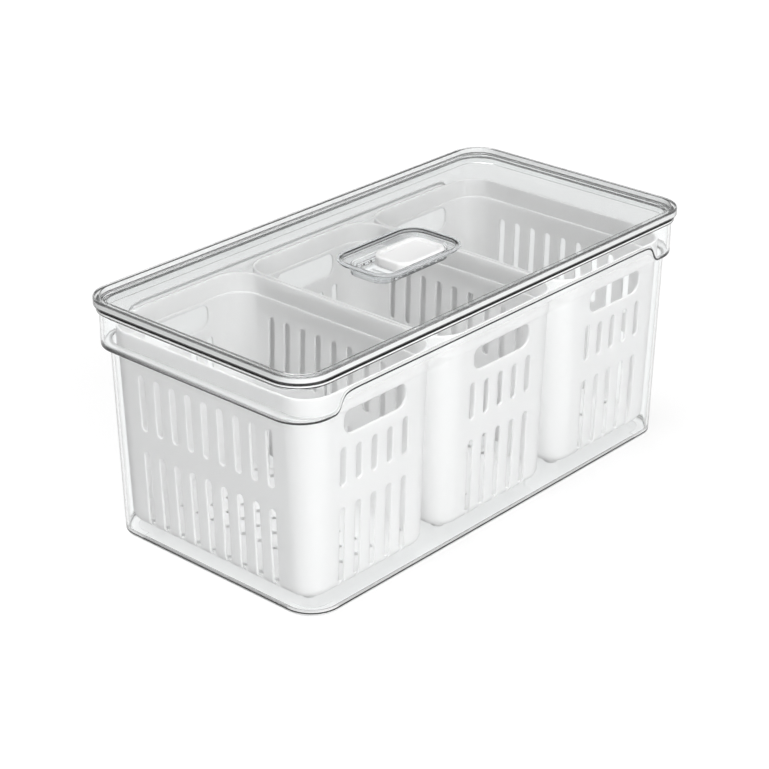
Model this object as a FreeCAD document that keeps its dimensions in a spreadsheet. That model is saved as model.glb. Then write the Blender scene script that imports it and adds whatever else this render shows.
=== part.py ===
import FreeCAD, Part
import math
import os
import re
import Sketcher

# Driving sizes of the keeper, in millimetres. A draft is millimetres out per millimetre up.
SIZES = {
    # Clear bin
    "bin_length": 356.6,
    "bin_width": 180.0,
    "bin_height": 160.3,
    "bin_draft": 0.0145,
    "bin_wall": 1.8,
    "bin_floor": 2.5,
    "bin_corner": 21.0,
    "tub_top_corner": 19.5,
    "bin_edge_round": 1.2,
    "foot_rise": 0.5,
    "foot_inset": 4.0,
    "foot_width": 5.0,
    "foot_reach": 26.0,
    "collar_end_drop": 26.8,
    "collar_side_drop": 15.1,
    "collar_end_step": 8.0,
    "collar_side_step": 0.7,
    "collar_corner": 22.0,
    "relief_margin": 36.7,
    "relief_slant": 4.0,
    "relief_top_round": 8.0,
    "relief_foot_round": 5.0,
    "lip_thickness": 2.9,
    "lip_overhang": 1.8,
    "lip_round": 1.2,
    # Clear lid
    "lid_overhang": 2.4,
    "lid_corner": 22.0,
    "lid_seat_gap": 0.3,
    "lid_panel": 2.2,
    "lid_sink": 3.4,
    "lid_rim_width": 4.6,
    "lid_rim_round": 1.2,
    "lid_foot_round": 0.9,
    "skirt_depth": 6.0,
    "skirt_wall": 1.6,
    "skirt_gap": 0.8,
    # Vent housing in the middle of the lid
    "flange_end_reach": 7.0,
    "flange_side_reach": 9.0,
    "flange_corner": 16.0,
    "flange_thickness": 0.9,
    "flange_overlap": 1.8,
    "vent_gap": 0.3,
    "vent_wall": 1.4,
    "dish_depth": 2.4,
    "cup_length": 69.0,
    "cup_width": 34.2,
    "cup_corner": 10.5,
    "cup_depth": 6.6,
    "rail_level": 2.2,
    "rail_height": 1.4,
    "rail_depth": 1.0,
    "vent_slot_width": 2.6,
    "vent_slot_length": 18.0,
    "vent_slot_pitch": 5.2,
    "vent_slots": 3,
    "notch_width": 2.8,
    "notch_height": 1.9,
    "notch_margin": 10.1,
    "notches": 8,
    # White slider of the vent
    "slider_length": 44.4,
    "slider_gap": 0.4,
    "slider_lift": 0.3,
    "slider_height": 6.9,
    "slider_edge": 3.4,
    "slider_well": 1.6,
    "slider_round": 1.5,
    # White baskets
    "basket_count": 3,
    "basket_gap": 1.0,
    "basket_end_gap": 0.3,
    "basket_side_gap": 2.7,
    "basket_headroom": 7.1,
    "basket_foot": 5.4,
    "basket_foot_radius": 5.0,
    "basket_foot_inset": 16.0,
    "basket_draft": 0.032,
    "basket_wall": 1.8,
    "basket_floor": 2.0,
    "basket_corner": 20.0,
    "basket_base_round": 7.0,
    "band_height": 15.0,
    "band_step": 0.9,
    "slot_width": 5.0,
    "slot_bevel": 1.5,
    "slot_foot_gap": 2.8,
    "slot_band": 14.7,
    "slot_split": 0.57,
    "side_slots": 5,
    "side_slot_margin": 31.4,
    "side_slot_gap": 9.0,
    "end_slots": 9,
    "end_slot_margin": 32.2,
    "end_slot_drop": 26.3,
    "handle_width": 55.0,
    "handle_height": 16.0,
    "handle_drop": 15.8,
    "handle_corner": 5.0,
    "drain_size": 4.4,
    "drain_pitch": 13.5,
    "drain_rows": 10,
    "drain_margin": 20.5,
}

# Places and fits worked out from the driving sizes
PLACES = {
    "lip_bottom": "bin_height - lip_thickness",
    "shoulder_low": "bin_height - collar_end_drop",
    "shoulder_high": "bin_height - collar_side_drop",
    "tub_top": "(shoulder_high + lip_bottom) / 2",
    "tub_top_length": "bin_length + 2 * bin_draft * tub_top",
    "tub_top_width": "bin_width + 2 * bin_draft * tub_top",
    "floor_level": "foot_rise + bin_floor",
    "floor_length": "bin_length + 2 * bin_draft * floor_level - 2 * bin_wall",
    "floor_width": "bin_width + 2 * bin_draft * floor_level - 2 * bin_wall",
    "shelf_level": "shoulder_low + bin_wall",
    "shelf_length": "bin_length + 2 * bin_draft * shelf_level - 2 * bin_wall",
    "shelf_width": "bin_width + 2 * bin_draft * shelf_level - 2 * bin_wall",
    "collar_length": "bin_length + 2 * bin_draft * shoulder_low + 2 * collar_end_step",
    "collar_width": "bin_width + 2 * bin_draft * shoulder_high + 2 * collar_side_step",
    "relief_half": "collar_length / 2 - relief_margin",
    "mouth_length": "collar_length - 2 * bin_wall",
    "mouth_corner": "collar_corner - bin_wall",
    "lid_length": "collar_length + 2 * lid_overhang",
    "lid_width": "collar_width + 2 * lid_overhang",
    "lid_base": "bin_height + lid_seat_gap",
    "panel_top": "lid_base + lid_panel",
    "lid_top": "panel_top + lid_sink",
    "skirt_length": "mouth_length - 2 * skirt_gap",
    "skirt_width": "shelf_width - 2 * skirt_gap",
    "skirt_corner": "mouth_corner - skirt_gap",
    "flange_length": "cup_length + 2 * flange_end_reach",
    "flange_width": "cup_width + 2 * flange_side_reach",
    "dish_length": "flange_length - 2 * flange_overlap",
    "dish_width": "flange_width - 2 * flange_overlap",
    "dish_corner": "flange_corner - flange_overlap",
    "dish_level": "panel_top - dish_depth",
    "cup_inner_length": "cup_length - 2 * vent_wall",
    "cup_inner_width": "cup_width - 2 * vent_wall",
    "cup_inner_corner": "cup_corner - vent_wall",
    "cup_floor": "dish_level - cup_depth",
    "cup_bottom": "cup_floor - vent_wall",
    "notch_pitch": "(cup_length - 2 * notch_margin) / (notches - 1)",
    "slider_travel": "cup_inner_length - slider_length - 2 * slider_gap",
    "slider_width": "cup_inner_width - 2 * slider_gap",
    "slider_corner": "cup_inner_corner - slider_gap",
    "slider_bottom": "cup_floor + slider_lift",
    "vent_middle": "-(cup_inner_length - slider_travel) / 2",
    "basket_height": "cup_bottom - floor_level - basket_headroom",
    "band_bottom": "basket_height - band_height",
    "ledge_level": "band_bottom + basket_wall",
    "basket_room": "bin_length + 2 * bin_draft * (floor_level + band_bottom) - 2 * bin_wall",
    "basket_span": "basket_room - 2 * basket_end_gap - (basket_count - 1) * basket_gap",
    "basket_length": "basket_span / basket_count",
    "basket_width": "basket_room - bin_length + bin_width - 2 * basket_side_gap",
    "basket_pitch": "basket_length + basket_gap",
    "basket_taper": "basket_draft * (band_bottom - basket_foot)",
    "basket_base_length": "basket_length - 2 * band_step - 2 * basket_taper",
    "basket_base_width": "basket_width - 2 * band_step - 2 * basket_taper",
    "basket_floor_level": "basket_foot + basket_floor",
    "side_slot_pitch": "(basket_length - 2 * side_slot_margin) / (side_slots - 1)",
    "end_slot_pitch": "(basket_width - 2 * end_slot_margin) / (end_slots - 1)",
    "handle_bottom": "basket_height - handle_drop - handle_height",
    "slot_bottom": "basket_foot + slot_foot_gap",
    "end_slot_top": "basket_height - end_slot_drop",
    "side_slot_top": "handle_bottom - side_slot_gap",
    "slot_band_middle": "slot_bottom + slot_split * (end_slot_top - slot_bottom)",
    "lower_slot_top": "slot_band_middle - slot_band / 2",
    "upper_slot_bottom": "slot_band_middle + slot_band / 2",
    "drain_row_pitch": "(basket_base_width - 2 * drain_margin) / (drain_rows - 1)",
}

doc = FreeCAD.newDocument("keeper")


def fill_sheet(name, cells):
    """Write one named value to each row of a sheet."""
    sheet = doc.addObject("Spreadsheet::Sheet", name)
    for row, (alias, content) in enumerate(cells.items(), start=1):
        sheet.set(f"A{row}", alias)
        sheet.set(f"B{row}", content)
        sheet.setAlias(f"B{row}", alias)
    doc.recompute()
    return sheet


def linked(words, own_sheet=""):
    """Point each name in a formula at the sheet that holds it."""

    def target(match):
        name = match[0]
        if name in SIZES:
            return f"Sizes.{name}"
        if name in PLACES and own_sheet != "Places":
            return f"Places.{name}"
        return name

    return re.sub(r"[a-z_]+", target, words)


sizes = fill_sheet("Sizes", {name: str(number) for name, number in SIZES.items()})
places = fill_sheet("Places", {name: "=" + linked(words, "Places") for name, words in PLACES.items()})


def new_body(name):
    """Start the body of one piece."""
    body = doc.addObject("PartDesign::Body", name)
    body.Label = name
    return body


def new_sketch(body, name, plane, level=""):
    """Put a sketch on one of the body's own planes, raised along the plane's normal."""
    sketch = body.newObject("Sketcher::SketchObject", name)
    origin_plane = next(item for item in body.Origin.OriginFeatures if item.Role == plane)
    sketch.AttachmentSupport = [(origin_plane, "")]
    sketch.MapMode = "FlatFace"
    if level:
        sketch.setExpression("AttachmentOffset.Base.z", linked(level))
    return sketch


def number(sketch, words):
    """Work out a formula."""
    return float(sketch.evalExpression(linked(words)))


def add_rule(sketch, rule, words=""):
    """Add a constraint, and bind it to a formula if it has a size."""
    index = sketch.addConstraint(rule)
    if words:
        sketch.setExpression(f"Constraints[{index}]", linked(words))


def add_rounded_rectangle(sketch, length, height, corner, bottom=""):
    """Draw a rounded rectangle that is centred across, and stands on bottom or is centred up too."""
    bottom = bottom or f"-({height}) / 2"
    x = number(sketch, length) / 2
    low = number(sketch, bottom)
    high = low + number(sketch, height)
    r = number(sketch, corner)
    centres = [(x - r, low + r), (x - r, high - r), (r - x, high - r), (r - x, low + r)]
    arcs = []
    for index, (across, up) in enumerate(centres):
        circle = Part.Circle(FreeCAD.Vector(across, up, 0), FreeCAD.Vector(0, 0, 1), r)
        arc = Part.ArcOfCircle(circle, (index - 1) * math.pi / 2, index * math.pi / 2)
        arcs.append(sketch.addGeometry(arc))
    ends = [((r - x, low), (x - r, low)), ((x, low + r), (x, high - r)),
            ((x - r, high), (r - x, high)), ((-x, high - r), (-x, low + r))]
    sides = []
    for start, end in ends:
        side = Part.LineSegment(FreeCAD.Vector(*start, 0), FreeCAD.Vector(*end, 0))
        sides.append(sketch.addGeometry(side))
    for index, direction in enumerate(("Horizontal", "Vertical", "Horizontal", "Vertical")):
        add_rule(sketch, Sketcher.Constraint(direction, sides[index]))
        add_rule(sketch, Sketcher.Constraint("Tangent", sides[index], 2, arcs[index], 1))
        add_rule(sketch, Sketcher.Constraint("Tangent", arcs[index], 2, sides[(index + 1) % 4], 1))
    for index in range(1, 4):
        add_rule(sketch, Sketcher.Constraint("Equal", arcs[0], arcs[index]))
    add_rule(sketch, Sketcher.Constraint("DistanceX", sides[3], 1, sides[1], 1, 2 * x), length)
    add_rule(sketch, Sketcher.Constraint("DistanceY", sides[0], 1, sides[2], 1, high - low), height)
    add_rule(sketch, Sketcher.Constraint("Radius", arcs[0], r), corner)
    add_rule(sketch, Sketcher.Constraint("DistanceX", -1, 1, sides[3], 1, -x), f"-({length}) / 2")
    add_rule(sketch, Sketcher.Constraint("DistanceY", -1, 1, sides[0], 1, low), bottom)


def add_polygon(sketch, corners):
    """Draw a closed outline through corners given as pairs of formulas."""
    spots = [FreeCAD.Vector(number(sketch, across), number(sketch, up), 0) for across, up in corners]
    lines = []
    for index, spot in enumerate(spots):
        following = spots[(index + 1) % len(spots)]
        lines.append(sketch.addGeometry(Part.LineSegment(spot, following)))
    for index, line in enumerate(lines):
        add_rule(sketch, Sketcher.Constraint("Coincident", line, 2, lines[(index + 1) % len(lines)], 1))
        across, up = corners[index]
        add_rule(sketch, Sketcher.Constraint("DistanceX", -1, 1, line, 1, spots[index].x), across)
        add_rule(sketch, Sketcher.Constraint("DistanceY", -1, 1, line, 1, spots[index].y), up)


def rounded_sketch(body, name, length, width, corner, level):
    """Draw a level rounded outline."""
    sketch = new_sketch(body, name, "XY_Plane", level)
    add_rounded_rectangle(sketch, length, width, corner)
    return sketch


def pad(body, name, sketch, length, downward=False, draft=""):
    """Extrude a sketch into material, wider as it goes where a draft is given."""
    feature = body.newObject("PartDesign::Pad", name)
    feature.Profile = sketch
    feature.setExpression("Length", linked(length))
    feature.Reversed = downward
    if draft:
        feature.setExpression("TaperAngle", linked(f"atan({draft})"))
    doc.recompute()
    return feature


def cut(body, name, sketch, length="", upward=False, draft=""):
    """Extrude a sketch out of the material, both ways through all of it where no length is given."""
    before = body.Shape.Volume
    feature = body.newObject("PartDesign::Pocket", name)
    feature.Profile = sketch
    if length:
        feature.setExpression("Length", linked(length))
        feature.Reversed = upward
        if draft:
            feature.setExpression("TaperAngle", linked(f"-atan({draft})"))
    else:
        feature.Type = "ThroughAll"
        feature.SideType = "Symmetric"
    doc.recompute()
    if not body.Shape.Volume < before:
        raise RuntimeError(f"{name} cuts nothing: {before:.1f} to {body.Shape.Volume:.1f}")
    return feature


def loft(body, name, lower, upper, hollow=False):
    """Join two outlines by straight walls, as material or as a hollow."""
    kind = "PartDesign::SubtractiveLoft" if hollow else "PartDesign::AdditiveLoft"
    feature = body.newObject(kind, name)
    feature.Profile = lower
    feature.Sections = [(upper, [""])]
    feature.Ruled = True
    doc.recompute()
    return feature


def row_of(body, name, feature, axis, pitch, count):
    """Repeat a cut along one axis of its own sketch."""
    before = body.Shape.Volume
    pattern = body.newObject("PartDesign::LinearPattern", name)
    pattern.Originals = [feature]
    pattern.Direction = (feature.Profile[0], [axis])
    pattern.Mode = "Spacing"
    pattern.setExpression("Offset", linked(pitch))
    pattern.setExpression("Occurrences", linked(count))
    body.Tip = pattern
    doc.recompute()
    if not body.Shape.Volume < before:
        raise RuntimeError(f"{name} repeats nothing")
    return pattern


def edges_of(body, wanted):
    """Name the edges of the body so far whose boxes are wanted."""
    return [f"Edge{index}" for index, edge in enumerate(body.Shape.Edges, start=1) if wanted(edge.BoundBox)]


def lies_at(level, reach_across=0.0):
    """Test for edges that lie flat at a level, and reach further across than a given half length."""

    def wanted(box):
        flat = abs(box.ZMin - level) < 0.01 and abs(box.ZMax - level) < 0.01
        return flat and max(abs(box.XMin), abs(box.XMax)) > reach_across

    return wanted


def round_edges(body, name, wanted, radius):
    """Round the wanted edges of the body so far."""
    base = body.Tip
    feature = body.newObject("PartDesign::Fillet", name)
    feature.Base = (base, edges_of(body, wanted))
    feature.setExpression("Radius", linked(radius))
    doc.recompute()
    return feature


def slot_corners(middle, bottom, top):
    """List the corners of an upright slot with bevelled ends."""
    half = "slot_width / 2"
    inner = "(slot_width / 2 - slot_bevel)"
    return [
        (f"{middle} - {inner}", bottom),
        (f"{middle} + {inner}", bottom),
        (f"{middle} + {half}", f"{bottom} + slot_bevel"),
        (f"{middle} + {half}", f"{top} - slot_bevel"),
        (f"{middle} + {inner}", top),
        (f"{middle} - {inner}", top),
        (f"{middle} - {half}", f"{top} - slot_bevel"),
        (f"{middle} - {half}", f"{bottom} + slot_bevel"),
    ]


def box_corners(left, right, bottom, top):
    """List the corners of a plain rectangle."""
    return [(left, bottom), (right, bottom), (right, top), (left, top)]


def build_bin():
    """Build the clear bin: drafted tub, stepped collar with relieved sides, lip and corner feet."""
    body = new_body("bin")
    collar = rounded_sketch(body, "collar_outline", "collar_length", "collar_width", "collar_corner",
                            "shoulder_low")
    pad(body, "collar", collar, "lip_bottom - shoulder_low")
    relief = new_sketch(body, "relief_outline", "XZ_Plane")
    foot = "(relief_half + relief_slant)"
    add_polygon(relief, [(f"-{foot}", "shoulder_low"), (foot, "shoulder_low"),
                         ("relief_half", "shoulder_high"), ("-relief_half", "shoulder_high")])
    cut(body, "side_relief", relief)
    spans = places.collar_width - 1.0
    high, low = places.shoulder_high, places.shoulder_low
    round_edges(body, "relief_top", lambda box: box.YLength > spans and abs(box.ZMin - high) < 0.01
                and box.ZLength < 0.01, "relief_top_round")
    round_edges(body, "relief_foot", lambda box: box.YLength > spans and abs(box.ZMax - low) < 0.01
                and abs(box.XMin) < places.relief_half + 2 * sizes.relief_slant, "relief_foot_round")
    base = rounded_sketch(body, "tub_base", "bin_length + 2 * bin_draft * foot_rise",
                          "bin_width + 2 * bin_draft * foot_rise", "bin_corner", "foot_rise")
    top = rounded_sketch(body, "tub_top", "tub_top_length", "tub_top_width", "tub_top_corner", "tub_top")
    loft(body, "tub", base, top)
    round_edges(body, "tub_edge", lies_at(sizes.foot_rise), "bin_edge_round")
    lip = rounded_sketch(body, "lip_outline", "collar_length + 2 * lip_overhang",
                         "collar_width + 2 * lip_overhang", "collar_corner", "lip_bottom")
    pad(body, "lip", lip, "lip_thickness")
    round_edges(body, "lip_edge", lies_at(sizes.bin_height), "lip_round")
    floor = rounded_sketch(body, "floor_outline", "floor_length", "floor_width", "bin_corner - bin_wall",
                           "floor_level")
    shelf = rounded_sketch(body, "shelf_outline", "shelf_length", "shelf_width",
                           "tub_top_corner - bin_wall", "shelf_level")
    loft(body, "tub_hollow", floor, shelf, hollow=True)
    mouth = rounded_sketch(body, "mouth_outline", "mouth_length", "shelf_width", "mouth_corner",
                           "bin_height")
    cut(body, "mouth", mouth, "bin_height - shelf_level")
    build_bin_feet(body)
    return body


def build_bin_feet(body):
    """Leave a curved foot under each corner of the bin."""
    inset = "2 * foot_inset"
    ring = rounded_sketch(body, "foot_ring", f"bin_length - {inset}", f"bin_width - {inset}",
                          "bin_corner - foot_inset", "")
    inset = "2 * (foot_inset + foot_width)"
    add_rounded_rectangle(ring, f"bin_length - {inset}", f"bin_width - {inset}",
                          "bin_corner - foot_inset - foot_width")
    pad(body, "feet", ring, "foot_rise")
    across = "(bin_length / 2 - foot_reach)"
    along = "(bin_width / 2 - foot_reach)"
    bands = {"side_gap": (across, "bin_width"), "end_gap": ("bin_length", along)}
    for name, (half_x, half_y) in bands.items():
        gap = new_sketch(body, name, "XY_Plane")
        add_polygon(gap, box_corners(f"-{half_x}", half_x, f"-{half_y}", half_y))
        cut(body, name + "_cut", gap, "foot_rise", upward=True)


def build_lid():
    """Build the clear lid: raised rim, sunk panel, locating skirt and vent opening."""
    body = new_body("lid")
    outline = rounded_sketch(body, "rim_outline", "lid_length", "lid_width", "lid_corner", "lid_base")
    pad(body, "rim", outline, "lid_top - lid_base")
    sink = rounded_sketch(body, "sink_outline", "lid_length - 2 * lid_rim_width",
                          "lid_width - 2 * lid_rim_width", "lid_corner - lid_rim_width", "lid_top")
    round_edges(body, "rim_edge", lies_at(places.lid_top), "lid_rim_round")
    round_edges(body, "foot_edge", lies_at(places.lid_base), "lid_foot_round")
    cut(body, "sink", sink, "lid_sink")
    skirt = rounded_sketch(body, "skirt_outline", "skirt_length", "skirt_width", "skirt_corner", "lid_base")
    add_rounded_rectangle(skirt, "skirt_length - 2 * skirt_wall", "skirt_width - 2 * skirt_wall",
                          "skirt_corner - skirt_wall")
    pad(body, "skirt", skirt, "skirt_depth", downward=True)
    opening = rounded_sketch(body, "vent_opening_outline", "dish_length + 2 * vent_gap",
                             "dish_width + 2 * vent_gap", "dish_corner + vent_gap", "panel_top")
    cut(body, "vent_opening", opening, "lid_panel")
    return body


def build_vent_housing():
    """Build the vent housing: flange on the lid, shallow dish and slotted cup with two rails."""
    body = new_body("vent_housing")
    flange = rounded_sketch(body, "flange_outline", "flange_length", "flange_width", "flange_corner",
                            "panel_top")
    pad(body, "flange", flange, "flange_thickness")
    dish = rounded_sketch(body, "dish_outline", "dish_length", "dish_width", "dish_corner", "panel_top")
    pad(body, "dish", dish, "dish_depth + vent_wall", downward=True)
    cup = rounded_sketch(body, "cup_outline", "cup_length", "cup_width", "cup_corner", "dish_level")
    pad(body, "cup", cup, "cup_depth + vent_wall", downward=True)
    dish_hollow = rounded_sketch(body, "dish_hollow_outline", "dish_length - 2 * vent_wall",
                                 "dish_width - 2 * vent_wall", "dish_corner - vent_wall",
                                 "panel_top + flange_thickness")
    cut(body, "dish_hollow", dish_hollow, "flange_thickness + dish_depth")
    cup_hollow = rounded_sketch(body, "cup_hollow_outline", "cup_inner_length", "cup_inner_width",
                                "cup_inner_corner", "dish_level")
    cut(body, "cup_hollow", cup_hollow, "cup_depth")
    rails = new_sketch(body, "rail_outline", "YZ_Plane")
    for side in ("-", ""):
        wall = f"{side}(cup_inner_width / 2)"
        face = f"{side}(cup_inner_width / 2 - rail_depth)"
        add_polygon(rails, box_corners(wall, face, "cup_floor + rail_level",
                                       "cup_floor + rail_level + rail_height"))
    rail = pad(body, "rails", rails, "cup_inner_length - 2 * cup_inner_corner")
    rail.SideType = "Symmetric"
    doc.recompute()
    slot = new_sketch(body, "vent_slot_outline", "XY_Plane", "cup_floor")
    first = "(vent_middle - (vent_slots - 1) * vent_slot_pitch / 2)"
    add_polygon(slot, box_corners(f"{first} - vent_slot_width / 2", f"{first} + vent_slot_width / 2",
                                  "-vent_slot_length / 2", "vent_slot_length / 2"))
    vent_slot = cut(body, "vent_slot", slot, "vent_wall")
    row_of(body, "vent_slot_row", vent_slot, "H_Axis", "vent_slot_pitch", "vent_slots")
    notch = new_sketch(body, "notch_outline", "XZ_Plane")
    first = "(-(notches - 1) * notch_pitch / 2)"
    add_polygon(notch, box_corners(f"{first} - notch_width / 2", f"{first} + notch_width / 2",
                                   "cup_floor", "cup_floor + notch_height"))
    row_of(body, "notch_row", cut(body, "notch", notch), "H_Axis", "notch_pitch", "notches")
    return body


def build_slider():
    """Build the white slider: block with a dished top and a groove for each rail."""
    body = new_body("vent_slider")
    block = rounded_sketch(body, "block_outline", "slider_length", "slider_width", "slider_corner",
                           "slider_bottom")
    pad(body, "block", block, "slider_height")
    top = places.slider_bottom + sizes.slider_height
    well = rounded_sketch(body, "well_outline", "slider_length - 2 * slider_edge",
                          "slider_width - 2 * slider_edge", "slider_corner - slider_edge",
                          "slider_bottom + slider_height")
    cut(body, "well", well, "slider_well")
    rim = lies_at(top, sizes.slider_length / 2 - sizes.slider_edge + 0.1)
    round_edges(body, "block_edge", rim, "slider_round")
    groove = new_sketch(body, "groove_outline", "YZ_Plane")
    for side in ("-", ""):
        face = f"{side}(slider_width / 2 + slider_gap)"
        depth = f"{side}(cup_inner_width / 2 - rail_depth - slider_gap)"
        add_polygon(groove, box_corners(face, depth, "cup_floor + rail_level - slider_gap",
                                        "cup_floor + rail_level + rail_height + slider_gap"))
    cut(body, "grooves", groove)
    body.setExpression("Placement.Base.x", linked("slider_travel / 2"))
    return body


def build_basket(name, place):
    """Build one white basket: drafted walls, wider rim band, slots, hand holes, drain holes and feet."""
    body = new_body(name)
    base = rounded_sketch(body, name + "_base", "basket_base_length", "basket_base_width",
                          "basket_corner - band_step - basket_taper", "basket_foot")
    pad(body, name + "_walls", base, "band_bottom - basket_foot", draft="basket_draft")
    band = rounded_sketch(body, name + "_band_outline", "basket_length", "basket_width", "basket_corner",
                          "band_bottom")
    pad(body, name + "_band", band, "band_height")
    inset = "2 * (band_step + basket_wall)"
    ledge = rounded_sketch(body, name + "_ledge_outline", f"basket_length - {inset}",
                           f"basket_width - {inset}", "basket_corner - band_step - basket_wall",
                           "ledge_level")
    cut(body, name + "_hollow", ledge, "ledge_level - basket_floor_level", draft="basket_draft")
    round_edges(body, name + "_floor_edge", lies_at(places.basket_floor_level),
                "basket_base_round - basket_wall")
    round_edges(body, name + "_base_edge", lies_at(sizes.basket_foot), "basket_base_round")
    mouth = rounded_sketch(body, name + "_mouth_outline", "basket_length - 2 * basket_wall",
                           "basket_width - 2 * basket_wall", "basket_corner - basket_wall", "basket_height")
    cut(body, name + "_mouth", mouth, "basket_height - ledge_level")
    cut_slots(body, name, "side", "XZ_Plane")
    cut_slots(body, name, "end", "YZ_Plane")
    handle = new_sketch(body, name + "_handle_outline", "XZ_Plane")
    add_rounded_rectangle(handle, "handle_width", "handle_height", "handle_corner", "handle_bottom")
    cut(body, name + "_handle", handle)
    cut_drains(body, name)
    pad_feet(body, name)
    body.setExpression("Placement.Base.x", linked(f"({place} - (basket_count - 1) / 2) * basket_pitch"))
    body.setExpression("Placement.Base.z", linked("floor_level"))
    return body


def cut_slots(body, name, wall, plane):
    """Cut two rows of upright slots through two facing walls."""
    sketch = new_sketch(body, f"{name}_{wall}_slot_outline", plane)
    first = f"(-({wall}_slots - 1) * {wall}_slot_pitch / 2)"
    add_polygon(sketch, slot_corners(first, "slot_bottom", "lower_slot_top"))
    add_polygon(sketch, slot_corners(first, "upper_slot_bottom", f"{wall}_slot_top"))
    slots = cut(body, f"{name}_{wall}_slots", sketch)
    row_of(body, f"{name}_{wall}_slot_row", slots, "H_Axis", f"{wall}_slot_pitch", f"{wall}_slots")


def cut_drains(body, name):
    """Cut rows of square drain holes through the floor, with a plain strip beside the outer pair."""
    sketch = new_sketch(body, name + "_drain_outline", "XY_Plane", "basket_floor_level")
    half = "drain_size / 2"
    first = "(-(drain_rows - 1) * drain_row_pitch / 2)"
    for side in ("-", ""):
        for column in ("0.5", "1.5", "3.5"):
            middle = f"{side}({column} * drain_pitch)"
            add_polygon(sketch, box_corners(f"{middle} - {half}", f"{middle} + {half}",
                                            f"{first} - {half}", f"{first} + {half}"))
    drains = cut(body, name + "_drains", sketch, "basket_floor")
    row_of(body, name + "_drain_rows", drains, "V_Axis", "drain_row_pitch", "drain_rows")


def pad_feet(body, name):
    """Stand the basket on four round feet."""
    sketch = new_sketch(body, name + "_foot_outline", "XY_Plane")
    for side_x in ("-", ""):
        for side_y in ("-", ""):
            across = f"{side_x}(basket_base_length / 2 - basket_foot_inset)"
            along = f"{side_y}(basket_base_width / 2 - basket_foot_inset)"
            x, y, r = number(sketch, across), number(sketch, along), number(sketch, "basket_foot_radius")
            circle = Part.Circle(FreeCAD.Vector(x, y, 0), FreeCAD.Vector(0, 0, 1), r)
            foot = sketch.addGeometry(circle)
            add_rule(sketch, Sketcher.Constraint("Radius", foot, r), "basket_foot_radius")
            add_rule(sketch, Sketcher.Constraint("DistanceX", -1, 1, foot, 3, x), across)
            add_rule(sketch, Sketcher.Constraint("DistanceY", -1, 1, foot, 3, y), along)
    pad(body, name + "_feet", sketch, "basket_foot")


def check_document():
    """Stop if any object of the document failed."""
    for item in doc.Objects:
        if "Invalid" in item.State or "Error" in item.State:
            raise RuntimeError(f"{item.Name} is {item.State}")


def write_parts(bodies):
    """Check each piece and write it to its own file."""
    os.makedirs("parts", exist_ok=True)
    for body in bodies:
        shape = body.Shape
        if shape.isNull() or not shape.isValid() or len(shape.Solids) != 1:
            raise RuntimeError(f"{body.Label} is not one valid solid")
        shape.exportStep(f"parts/{body.Label}.step")
        box = shape.BoundBox
        size = f"{box.XLength:.1f} {box.YLength:.1f} {box.ZLength:.1f}"
        print(f"{body.Label}: volume {shape.Volume:.0f}, box {size}")


pieces = [build_bin(), build_lid(), build_vent_housing(), build_slider()]
for place, name in enumerate(("basket_left", "basket_middle", "basket_right")):
    pieces.append(build_basket(name, place))
doc.recompute()
check_document()
write_parts(pieces)
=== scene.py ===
import logging
import math
from collections.abc import Callable, Sequence
from dataclasses import dataclass
from enum import Enum

import bmesh
import bpy
from bmesh.types import BMesh, BMVert
from bpy.types import Material, Mesh, Node, NodeSocket, NodeTree, Object
from mathutils import Matrix, Vector


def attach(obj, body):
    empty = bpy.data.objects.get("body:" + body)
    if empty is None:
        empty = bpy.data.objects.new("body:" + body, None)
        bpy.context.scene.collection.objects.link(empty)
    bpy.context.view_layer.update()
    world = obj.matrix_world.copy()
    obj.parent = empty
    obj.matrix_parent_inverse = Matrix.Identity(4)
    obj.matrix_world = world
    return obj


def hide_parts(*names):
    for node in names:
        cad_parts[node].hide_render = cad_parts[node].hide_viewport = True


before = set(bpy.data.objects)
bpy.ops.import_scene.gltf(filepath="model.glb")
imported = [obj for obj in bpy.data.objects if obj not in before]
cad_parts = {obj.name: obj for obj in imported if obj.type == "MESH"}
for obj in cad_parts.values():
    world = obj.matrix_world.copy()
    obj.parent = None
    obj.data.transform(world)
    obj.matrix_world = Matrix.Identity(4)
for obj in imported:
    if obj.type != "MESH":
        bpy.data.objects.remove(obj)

LOG = logging.getLogger("keeper")
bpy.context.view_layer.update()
MM = 0.001
WHITE = (1.0, 1.0, 1.0, 1.0)
# Points closer than the first are one, and edges shorter than the second go, in metres.
WELD = 2e-6
SPECK = 1e-6
# Angles in degrees above which an edge is sharp: on clear pieces, the slider and the baskets.
SHARP_CLEAR = 35.0
SHARP_SLIDER = 50.0
SHARP_BASKET = 30.0

Ring = list[Vector]
Shape = list[tuple[float, float]]
# A number, or a function that gives it at x and y.
Field = float | Callable[[float, float], float]


class Body(Enum):
    """The two bodies of the model that pieces ride on."""

    KEEPER = "keeper"
    SLIDER = "slider"


class Change(Enum):
    """What a mesh does to the object that it meets."""

    CUT = "DIFFERENCE"
    JOIN = "UNION"


# ---------------------------------------------------------------- outlines and rings


def value_at(field: Field, x: float, y: float) -> float:
    """Return the value of a field at a point."""
    return field(x, y) if callable(field) else field


def turn(steps: int, start: float = 0.0, quarters: float = 1.0) -> Shape:
    """List the cosine and sine along a turn.

    Args:
        steps: Straight steps in the turn.
        start: Where it starts, in quarter turns from +X.
        quarters: How far it goes, in quarter turns.

    Returns:
        The pairs from start to end, both included.
    """
    angles = [(start + step / steps * quarters) * math.pi / 2 for step in range(steps + 1)]
    return [(math.cos(angle), math.sin(angle)) for angle in angles]


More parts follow.
